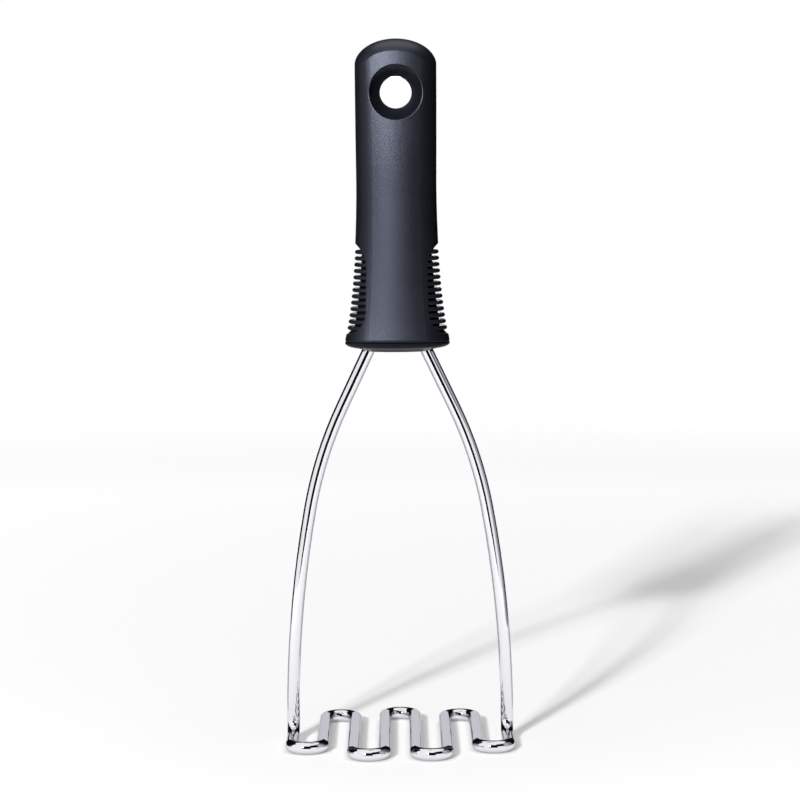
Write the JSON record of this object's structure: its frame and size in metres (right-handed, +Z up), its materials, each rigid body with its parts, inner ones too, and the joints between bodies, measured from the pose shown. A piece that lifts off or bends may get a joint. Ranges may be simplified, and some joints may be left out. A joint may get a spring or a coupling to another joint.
{
  "type": "potato masher",
  "caption": "Upright wire potato masher: a bent steel rod zigzag head on splayed legs, in a soft flared oval grip with finned sides and a hanging hole.",
  "frame": {"origin": "on the surface that the masher stands on, under the middle of its head and on the handle's axis", "axes": "+Z up along the handle, X across the two legs, -Y towards the front, along the strands of the head"},
  "size_m": [0.0866, 0.0826, 0.2672],
  "materials": {
    "polished_steel_rod": "polished stainless steel rod",
    "gloss_collar": "glossy black moulded plastic",
    "core_plastic": "plain moulded plastic, hidden inside the grip",
    "soft_grip": "matt soft-touch thermoplastic rubber, blue-black"
  },
  "bodies": {
    "root": {"masher_wire": "polished_steel_rod", "end_collar": "gloss_collar", "core_front_half": "core_plastic", "core_rear_half": "core_plastic", "soft_grip": "soft_grip"}
  },
  "joints": []
}
